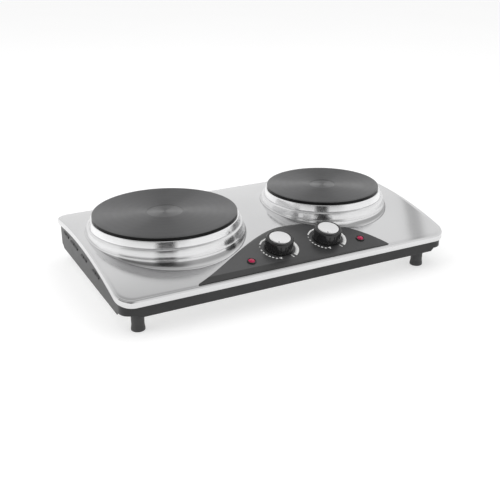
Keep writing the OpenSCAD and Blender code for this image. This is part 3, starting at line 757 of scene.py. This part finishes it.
def panel_top(x):
    """The panel's rear edge at x: two cubic curves, cut back round the small plate's collar."""
    crown_x, crown_y = PANEL_CROWN
    if x < crown_x:
        curve = ((PANEL_LEFT, -128.6), (-87, -109.3), (crown_x - 38, crown_y), PANEL_CROWN)
    else:
        curve = (PANEL_CROWN, (crown_x + 57, crown_y), (107, -76), (PANEL_RIGHT, -129))
    low, high = 0.0, 1.0
    for _ in range(30):
        middle = (low + high) / 2
        if cubic(*curve, middle)[0] < x:
            low = middle
        else:
            high = middle
    y = cubic(*curve, low)[1]
    small = PLATES[1]
    reach = small.wall_r + NOTCH_CLEAR
    if abs(x - small.centre.x) < reach:
        y = min(y, small.centre.y - math.sqrt(reach ** 2 - (x - small.centre.x) ** 2))
    return y


def control_panel():
    """The overlay, in columns from front to back that lie closer together towards its tips."""
    shape = Shape()
    columns = []
    for k in range(PANEL_COLUMNS + 1):
        x = PANEL_LEFT + (PANEL_RIGHT - PANEL_LEFT) * (1 - math.cos(math.pi * k / PANEL_COLUMNS)) / 2
        tip = min(x - PANEL_LEFT, PANEL_RIGHT - x)
        cut = TIP_R - math.sqrt(TIP_R ** 2 - (TIP_R - tip) ** 2) if tip < TIP_R else 0
        front = PANEL_FRONT + cut * 0.7
        depth = max(panel_top(x) - cut * 0.7 - front, 0.05)
        flat = [BEVEL_W + (depth - 2 * BEVEL_W) * j / PANEL_ROWS for j in range(PANEL_ROWS + 1)]
        rows = [(0, BEVEL_D)] + [(s, 0) for s in flat] + [(depth, BEVEL_D)]
        columns.append([(x, front + s, arch(front + s) + PLAY + PANEL_T - drop) for s, drop in rows])
    shape.skin([shape.ring(column) for column in columns][::-1], closed=False)
    shape.piece("control_panel_overlay", PANEL_PAINT, "casing", "panel_black", ("control_panel",),
                sharp=50, wall=PANEL_T - 0.08)


# Dial marks: angles run clockwise from the front, radii from the knob's axis
DASHES = [(33.5, 6), (45, 6.5), (56, 6.5), (67.5, 6.5), (79.5, 6.5), (93, 6.5)]     # middle, length
DASH_R, DASH_HALF = 23.5, 0.95
DOT_AT, DOT_HALF, DOT_END = 111, 2, 0.05        # middle, half length, half width at its ends
TICK_AT, TICK_HALF = 338, 1.6
INK_T = 0.05


def dial_marks(side, knob_x, knob_y):
    """The white print round one knob, as thin raised ink that follows the panel."""
    shape = Shape()
    tilt = math.cos(lean(knob_y))
    ink_z = PLAY + PANEL_T + INK_T + 0.02

    def spot(r, angle):
        a = math.radians(angle)
        y = knob_y - r * math.cos(a) * tilt
        return knob_x - r * math.sin(a), y, arch(y) + ink_z

    def bar(start, end, inner, outer, steps, swell=0):
        """A curved bar between two angles; inner and outer give its radii at the start and the end, and
        swell is what its middle has more on both sides."""
        rows = []
        for k in range(steps + 1):
            f = k / steps
            more = swell * math.sin(math.pi * f)
            low = inner[0] + (inner[1] - inner[0]) * f - more
            high = outer[0] + (outer[1] - outer[0]) * f + more
            angle = start + (end - start) * f
            rows.append(shape.ring([spot(r, angle) for r in (low, (low + high) / 2, high)]))
        shape.skin(rows[::-1], closed=False)

    inner, outer = [DASH_R - DASH_HALF] * 2, [DASH_R + DASH_HALF] * 2
    for middle, length in DASHES:
        bar(middle - length / 2, middle + length / 2, inner, outer, 4)
    inner, outer = [DASH_R - DOT_END] * 2, [DASH_R + DOT_END] * 2
    bar(DOT_AT - DOT_HALF, DOT_AT + DOT_HALF, inner, outer, 6, swell=DASH_HALF)
    bar(TICK_AT - TICK_HALF, TICK_AT + TICK_HALF, (19.9, 19.9), (25.5, 25.5), 2)
    bar(124, 259, (22.5, 21.5), (24.5, 25.7), 40)       # the wedge that widens clockwise
    bar(259, 327, (21.5, 21.1), (25.7, 25.9), 24)       # its broad end
    bar(17, 27, (19.7, 22.0), (24.3, 22.1), 6)          # the arrowhead at the dashes' start
    shape.piece("dial_print_" + side, PRINT_WHITE, "casing", "print_white", wall=INK_T)


# ---- knobs ----

def knob(side, place):
    """The fluted knob with its seat for the disc and its hub for the spindle."""
    shape = Shape()
    seat, ceiling = KNOB_H - 1, KNOB_H - 3.4
    profile = rounded([
        (KNOB_R - 2, KNOB_FOOT, 0.2), (KNOB_R, KNOB_FOOT, 0.5), (KNOB_R - 1.3, KNOB_H - 1.2, 0.9),
        (KNOB_R - 2.3, KNOB_H, 0.7), (CAP_R + 0.9, KNOB_H, 0.25), (CAP_R + 0.5, KNOB_H - 0.6, 0.1),
        (CAP_R + 0.12, KNOB_H - 0.6, 0), (CAP_R + 0.12, seat, 0), (3.1, seat, 0), (3.1, 2.9, 0.1),
        (5.6, 2.9, 0.2), (5.6, ceiling, 0.3), (KNOB_R - 3.4, ceiling, 0.5)], 3)
    profile = densified(profile, 8, lambda a, b: abs(b[1] - a[1]) > 6 and a[0] > KNOB_R - 1.5)
    segments = FLUTES * 12
    angles = [math.tau * k / segments for k in range(segments)]
    rings = []
    for r, z in profile:
        depth = FLUTE_D * ramp(z, 2.0, 3.5) * (1 - ramp(z, KNOB_H - 6, KNOB_H - 2.2))
        if r <= KNOB_R - 2.2:
            depth = 0
        circle = [turned(place, r - depth * max(0, math.cos(FLUTES * a)) ** 3, z, a) for a in angles]
        rings.append(shape.ring(circle))
    shape.skin(rings + rings[:1])
    shape.piece("knob_body_" + side, KNOB_PLASTIC, "dial_" + side, "knob_black", ("knob_" + side,))


def knob_cap(side, place):
    """The pale disc in the knob's seat."""
    shape = Shape()
    low, high = KNOB_H - 0.9, KNOB_H + 0.85
    profile = rounded([
        (AXIS_R, low, 0), (CAP_R, low, 0.1), (CAP_R, high - 0.5, 0.3), (CAP_R - 0.9, high, 0.2),
        (CAP_R - 1.6, high - 0.05, 0.2), (AXIS_R, high - 0.12, 0)], 3)
    shape.lathe(profile, 128, place)
    shape.piece("knob_disc_" + side, SATIN_CAP, "dial_" + side, "cap_metal", ("knob_cap_" + side,))


def pointer_dot(side, place):
    """A small black dot near the disc's rim, where the knob points when it is off."""
    shape = Shape()
    turn = Matrix.Rotation(math.radians(-OFF_ANGLE), 4, "Z")
    r, top = 1.1, KNOB_H + 0.83
    profile = rounded([(AXIS_R, top - 0.4, 0), (r, top - 0.4, 0), (r, top, 0.1), (AXIS_R, top, 0)], 2)
    shape.lathe(profile, 24, place @ turn @ Matrix.Translation((0, 2 - CAP_R, 0)))
    shape.piece("pointer_dot_" + side, BEZEL_PLASTIC, "dial_" + side, "bezel_black")


# ---- pilot lamps ----

def lamp(side, x):
    """A bezel with a deep holder, and in it the lens with its eight facets."""
    place = on_top(x, LAMP_Y)
    rim = PANEL_T + 2 * PLAY
    holder = Shape()
    low, floor, seat = -LAMP_H, 1.5 - LAMP_H, rim + 0.6
    profile = rounded([
        (AXIS_R, low, 0), (4, low, 0.5), (4, rim, 0.2), (5.8, rim, 0.15), (5.7, rim + 1.0, 0.4),
        (5.1, rim + 1.4, 0.4), (4.5, rim + 1.3, 0.2), (4.5, seat, 0.1), (3.5, seat, 0.2), (3.5, floor, 0.2),
        (AXIS_R, floor, 0)], 3)
    holder.lathe(profile, 64, place)
    holder.piece("lamp_bezel_" + side, BEZEL_PLASTIC, "casing", "bezel_black", ("lamp_holder_" + side,))
    lens = Shape()
    facets = 8
    rings = []
    for r, z, turn in [(3.4, -7, 0), (3.4, rim + 0.65, 0), (4.3, rim + 0.7, 0), (4.3, rim + 1.1, 0),
                       (3.3, rim + 1.8, 0.5), (1.7, rim + 2.2, 0)]:
        angles = [math.tau * (k + turn) / facets for k in range(facets)]
        rings.append(lens.ring([turned(place, r, z, a) for a in angles]))
    lens.skin(rings)
    lens.lid(rings[0][::-1])
    lens.lid(rings[-1])
    lens.piece("lamp_jewel_" + side, RED_LENS, "casing", "lens_red", ("lamp_lens_" + side,), sharp=5)


# ---- the housing ----

def housing_outline(inset, r):
    """The housing's outline with extra points where its hanging lips start and end."""
    w, d = BASE_W / 2 - inset, BASE_D / 2 - inset
    hx, hy = w - r, d - r
    long_stops = [0, 40, 80, 120, 160, 198, LIP_X - LIP_H, LIP_X]
    side_stops = [-LIP_Y, -LIP_Y + LIP_H, -90, -60, -30, 0, 30, 60, 90, LIP_Y - LIP_H, LIP_Y]
    front = [(min(s, hx), -d) for s in long_stops]
    side = [(w, max(min(s, hy), -hy)) for s in side_stops]
    rear = [(x, d) for x, _ in front[::-1]]
    half = front + arc(hx, -hy, r, r, -90, 0, 8) + side + arc(hx, hy, r, r, 0, 90, 8) + rear
    return half + [(-x, y) for x, y in half[::-1]][1:-1]


def hang(x, y):
    """Height of the housing's lower edge: the corners are a lip's height higher."""
    on_long = abs(y) > LIP_Y + 2
    along = LIP_X - abs(x) if on_long else LIP_Y - abs(y)
    return FLOOR_H - min(max(along, 0), LIP_H)


def vent_slots():
    """Side, middle y, middle z and length of every vent slot; they rise gently to the back."""
    for side in (-1, 1):
        for middle, length in VENTS:
            for s in (-1, 1):
                y = middle + s * (length / 2 + 1)
                yield side, y, 42 + 0.043 * y, length


def base_housing():
    """Walls, their hanging lips and the flange inside, with the vent slots cut through."""
    shape = Shape()
    under_sheet = SHEET_T + 0.35
    outer, inner = housing_outline(0, BASE_R), housing_outline(BASE_T, BASE_R - BASE_T)
    hole = housing_outline(FLANGE_W, 4)
    levels = [[(x, y, arch(y) - under_sheet) for x, y in edge] for edge in (inner, outer)]
    levels += [[(x, y, hang(x, y) + rise) for x, y in outer] for rise in (0.9, 0.4)]
    levels += [[(x * 0.999, y * 0.998, hang(x, y)) for x, y in outer]]
    levels += [[(x, y, hang(*corner)) for (x, y), corner in zip(inner, outer)]]
    flange = [(inner, 0), (hole, 0), (hole, BASE_T), (inner, BASE_T)]
    levels += [[(x, y, FLOOR_H + rise) for x, y in edge] for edge, rise in flange]
    rings = [shape.ring(level) for level in levels]
    shape.skin(rings + rings[:1])
    piece = shape.piece("housing_shell", POWDER_COAT, "casing", "housing_black",
                        ("base_housing", "rear_wall"))
    cutter = Shape()
    for side, y, z, length in vent_slots():
        cube(cutter, (side * BASE_W / 2, y, z), (12, length, SLOT_H))
    cut_with(piece, cutter)


def cube(shape, centre, size):
    """Adds a closed box to a shape that is a cutter."""
    cx, cy, cz = centre
    sx, sy, sz = (s / 2 for s in size)
    corners = [(cx - sx, cy - sy), (cx + sx, cy - sy), (cx + sx, cy + sy), (cx - sx, cy + sy)]
    low, high = (shape.ring([(x, y, z) for x, y in corners]) for z in (cz - sz, cz + sz))
    shape.skin([low, high])
    shape.lid(low[::-1])
    shape.lid(high)


def cut_with(piece, cutter):
    """Cuts a cutter shape out of a piece and leaves no modifier behind."""
    tool = cutter.bare("cutter")
    modifier = piece.modifiers.new("Boolean", "BOOLEAN")
    modifier.operation = "DIFFERENCE"
    modifier.solver = "EXACT"
    modifier.object = tool
    graph = bpy.context.evaluated_depsgraph_get()
    result = bpy.data.meshes.new_from_object(piece.evaluated_get(graph))
    piece.modifiers.remove(modifier)
    piece.data = result
    result.set_sharp_from_angle(angle=math.radians(25))
    bpy.data.objects.remove(tool)


# A hood's section: height over the slot's middle and distance out from the wall
HOOD = [(2.9, 0.02), (2.3, 0.9), (1.5, 1.4), (0.3, 1.6), (0.3, 1.1), (1.3, 0.9), (2.1, 0.4), (2.4, 0.02)]


def louvres():
    """A small pressed hood over each vent slot, open at the bottom."""
    shape = Shape()
    for side, y, z, length in vent_slots():
        half = length / 2 + 0.4
        rows = [shape.ring([(side * (BASE_W / 2 + out), y + end, z + rise) for end in (-half, half)])
                for rise, out in HOOD]
        shape.skin(rows + rows[:1], closed=False)
        shape.lid([row[0] for row in rows])
        shape.lid([row[1] for row in rows[::-1]])
    shape.piece("vent_louvres", POWDER_COAT, "casing", "housing_black")


def foot(name):
    """A flared post with the wide bore of its screw's head below and the screw's own above."""
    lo, hi = box_mm(name)
    r, top = (hi.x - lo.x) / 2, hi.z
    head_r, screw_r, head_z = 3.9, 2.1, 13
    shape = Shape()
    profile = rounded([
        (head_r, 0, 0.3), (r, 0, 0.9), (r - 0.1, 3, 1.5), (r - 0.8, 7, 3), (r - 0.6, top, 0.3),
        (screw_r, top, 0.2), (screw_r, head_z, 0), (head_r, head_z, 0)])
    shape.lathe(profile, 72, Matrix.Translation(((lo.x + hi.x) / 2, (lo.y + hi.y) / 2, 0)))
    shape.piece(name.replace("foot", "moulded_foot"), FOOT_PLASTIC, "casing", "foot_black", (name,))


def cord_gland():
    """Grommet round the cord's inlet, its axis pointing out of the rear wall."""
    lo, hi = box_mm("cord_gland")
    out = hi.y - BASE_D / 2
    bore_r, neck_r = 3.6, 5.85
    shape = Shape()
    profile = rounded([
        (bore_r, -10, 0.2), (neck_r, -10, 0.3), (neck_r, PLAY, 0.1), (9, PLAY, 0.3), (8.6, out * 0.6, 0.8),
        (7.4, out, 0.6), (4.4, out, 0.4), (bore_r, out - 0.8, 0.3)], 3)
    centre = Matrix.Translation(((lo.x + hi.x) / 2, BASE_D / 2, (lo.z + hi.z) / 2))
    shape.lathe(profile, 64, centre @ Matrix.Rotation(math.radians(-90), 4, "X"))
    shape.piece("gland_grommet", GLAND_RUBBER, "casing", "gland_rubber", ("cord_gland",))


# ---- build the object ----

dress_cad_nodes()
top_sheet()
control_panel()
for plate in PLATES:
    hot_plate(plate)
    spill_ring(plate)
for joint in frame["joints"]:
    if joint["type"] == "hinge":
        side_name = joint["child"].replace("dial_", "")
        axis_x, axis_y = (v / MM for v in joint["pos_m"][:2])
        knob_place = on_top(axis_x, axis_y)
        knob(side_name, knob_place)
        knob_cap(side_name, knob_place)
        pointer_dot(side_name, knob_place)
        dial_marks(side_name, axis_x, axis_y)
for side_name in ("left", "right"):
    lens_lo, lens_hi = box_mm("lamp_lens_" + side_name)
    lamp(side_name, (lens_lo.x + lens_hi.x) / 2)
base_housing()
louvres()
for corner_name in ("front_left", "front_right", "rear_left", "rear_right"):
    foot("foot_" + corner_name)
cord_gland()


# ---- floor, light and camera ----

def studio_floor():
    """A pale floor that glows a little, so that only a faint shadow shows on it."""
    shape = Shape()
    lines = [-8000, -1500, 0, 1500, 8000]
    shape.skin([shape.ring([(x, y, 0) for x in lines]) for y in lines[::-1]], closed=False)
    floor = shape.bare("studio_floor")
    finish = Finish("pale_floor", Emission_Color=(1.0, 1.0, 1.0), Emission_Strength=0.52, Roughness=0.8,
                    Specular_IOR_Level=0.0)
    finish.colour(finish.mixed(finish.noise(3, 2), (0.60, 0.60, 0.60), (0.62, 0.62, 0.62)))
    floor.data.materials.append(finish.material)


# Grey parts of the studio: middle, half width and softness of azimuth, the same of height, all in
# degrees, and how bright that part is
STUDIO_SHADES = [
    (-142, 50, 22, 30, 13, 8, 0.30),
    (60, 360, 25, 90, 22, 25, 0.50),
]
# A darker strip behind the object at a steady share of the X direction, which the brushed sheet reflects
STRIP_X, STRIP_HALF, STRIP_SOFT = 0.602, 0.005, 0.003
STRIP_LEVEL = 0.55
ROOM_LEVEL = 1.15


def studio_world():
    """A white room painted by direction, with darker parts that the polished steel reflects."""
    world = bpy.data.worlds.new("studio")
    bpy.context.scene.world = world
    world.use_nodes = True
    nodes, links = world.node_tree.nodes, world.node_tree.links
    nodes.clear()

    def result(operation, *inputs):
        return calculate(world.node_tree, operation, *inputs)

    def dimmed(clear, bright):
        """1 where clear is 1, and bright where it is 0."""
        return result("ADD", result("MULTIPLY", clear, 1 - bright), bright)

    def outside(value, middle, half, soft):
        """0 within half of the middle, 1 beyond, smooth over soft."""
        node = nodes.new("ShaderNodeMapRange")
        node.interpolation_type = "SMOOTHSTEP"
        away = result("ABSOLUTE", result("SUBTRACT", value, middle))
        links.new(away, node.inputs["Value"])
        node.inputs["From Min"].default_value = half
        node.inputs["From Max"].default_value = half + soft
        return node.outputs["Result"]

    coords = nodes.new("ShaderNodeTexCoord").outputs["Generated"]
    split = nodes.new("ShaderNodeSeparateXYZ")
    links.new(coords, split.inputs[0])
    azimuth = result("ARCTAN2", split.outputs["Y"], split.outputs["X"])
    height = result("ARCSINE", split.outputs["Z"])
    level = ROOM_LEVEL
    for *angles, bright in STUDIO_SHADES:
        angles = [math.radians(v) for v in angles]
        clear = result("MAXIMUM", outside(azimuth, *angles[:3]), outside(height, *angles[3:]))
        level = result("MULTIPLY", level, dimmed(clear, bright))
    strip = dimmed(outside(split.outputs["X"], STRIP_X, STRIP_HALF, STRIP_SOFT), STRIP_LEVEL)
    in_front = result("LESS_THAN", split.outputs["Y"], 0)
    level = result("MULTIPLY", level, result("MAXIMUM", strip, in_front))
    seen = nodes.new("ShaderNodeBackground")
    seen.inputs["Color"].default_value = (1, 1, 1, 1)
    room = nodes.new("ShaderNodeBackground")
    links.new(level, room.inputs["Strength"])
    pick = nodes.new("ShaderNodeMixShader")
    links.new(nodes.new("ShaderNodeLightPath").outputs["Is Camera Ray"], pick.inputs[0])
    links.new(room.outputs[0], pick.inputs[1])
    links.new(seen.outputs[0], pick.inputs[2])
    links.new(pick.outputs[0], nodes.new("ShaderNodeOutputWorld").inputs["Surface"])


LIGHTS_AIM = Vector((0, 0, 0.05))       # metres


def soft_light(name, place, size, power):
    """An area light that looks at the object; place and size are in metres, and power is in watts."""
    data = bpy.data.lights.new(name, "AREA")
    data.shape = "RECTANGLE"
    data.size, data.size_y = size
    data.energy = power
    light = bpy.data.objects.new(name, data)
    light.location = place
    light.visible_glossy = False
    aim = LIGHTS_AIM - Vector(place)
    light.rotation_euler = aim.to_track_quat("-Z", "Y").to_euler()
    bpy.context.scene.collection.objects.link(light)


CAMERA_AT = Vector((-457.35, -884.52, 431.26))
CAMERA_AZ, CAMERA_EL, CAMERA_ROLL = -27.364, 22.739, -0.222
LENS, SENSOR_W = 56.78, 36
SCREEN_AT = Vector((-475, -925, 0))
SCREEN_HALF, SCREEN_LOW, SCREEN_HIGH = 300, 60, 640


def studio_camera():
    """The photograph's viewing angle: azimuth from the front, height angle and a slight roll."""
    data = bpy.data.cameras.new("studio_camera")
    data.lens = LENS
    data.sensor_width = SENSOR_W
    camera = bpy.data.objects.new("studio_camera", data)
    place = Matrix.Translation(CAMERA_AT * MM)
    for angle, axis in ((CAMERA_AZ, "Z"), (90 - CAMERA_EL, "X"), (CAMERA_ROLL, "Z")):
        place = place @ Matrix.Rotation(math.radians(angle), 4, axis)
    camera.matrix_world = place
    bpy.context.scene.collection.objects.link(camera)
    bpy.context.scene.camera = camera


def dark_screen():
    """A dark screen with soft sides behind the camera, for the polished rings; the camera never sees it."""
    across = Matrix.Rotation(math.radians(CAMERA_AZ), 3, "Z") @ Vector((SCREEN_HALF, 0, 0))
    low, high = Vector((0, 0, SCREEN_LOW)), Vector((0, 0, SCREEN_HIGH))
    shape = Shape()
    shape.lid(shape.ring([SCREEN_AT - across + low, SCREEN_AT + across + low,
                          SCREEN_AT + across + high, SCREEN_AT - across + high]))
    screen = shape.bare("dark_screen")
    finish = plain_finish("dark_cloth", (0.03, 0.03, 0.03), 0.2, (0.8, 0.9), 300, 0.2, Specular_IOR_Level=0.1)
    fade_start, fade_end = SCREEN_HALF / 2 * MM, SCREEN_HALF * MM
    solid = finish.ranged(finish.distance(SCREEN_AT), 1, 0, fade_start, fade_end)
    finish.links.new(solid, finish.shader.inputs["Alpha"])
    screen.data.materials.append(finish.material)
    screen.visible_camera = False
    screen.visible_shadow = False


studio_floor()
studio_world()
dark_screen()
soft_light("overhead_softbox", (0.1, 0.2, 1.9), (2.4, 1.6), 11)
soft_light("left_softbox", (-1.9, 0.3, 0.9), (1.4, 1.2), 9)
studio_camera()
bpy.context.scene.view_settings.view_transform = "Standard"
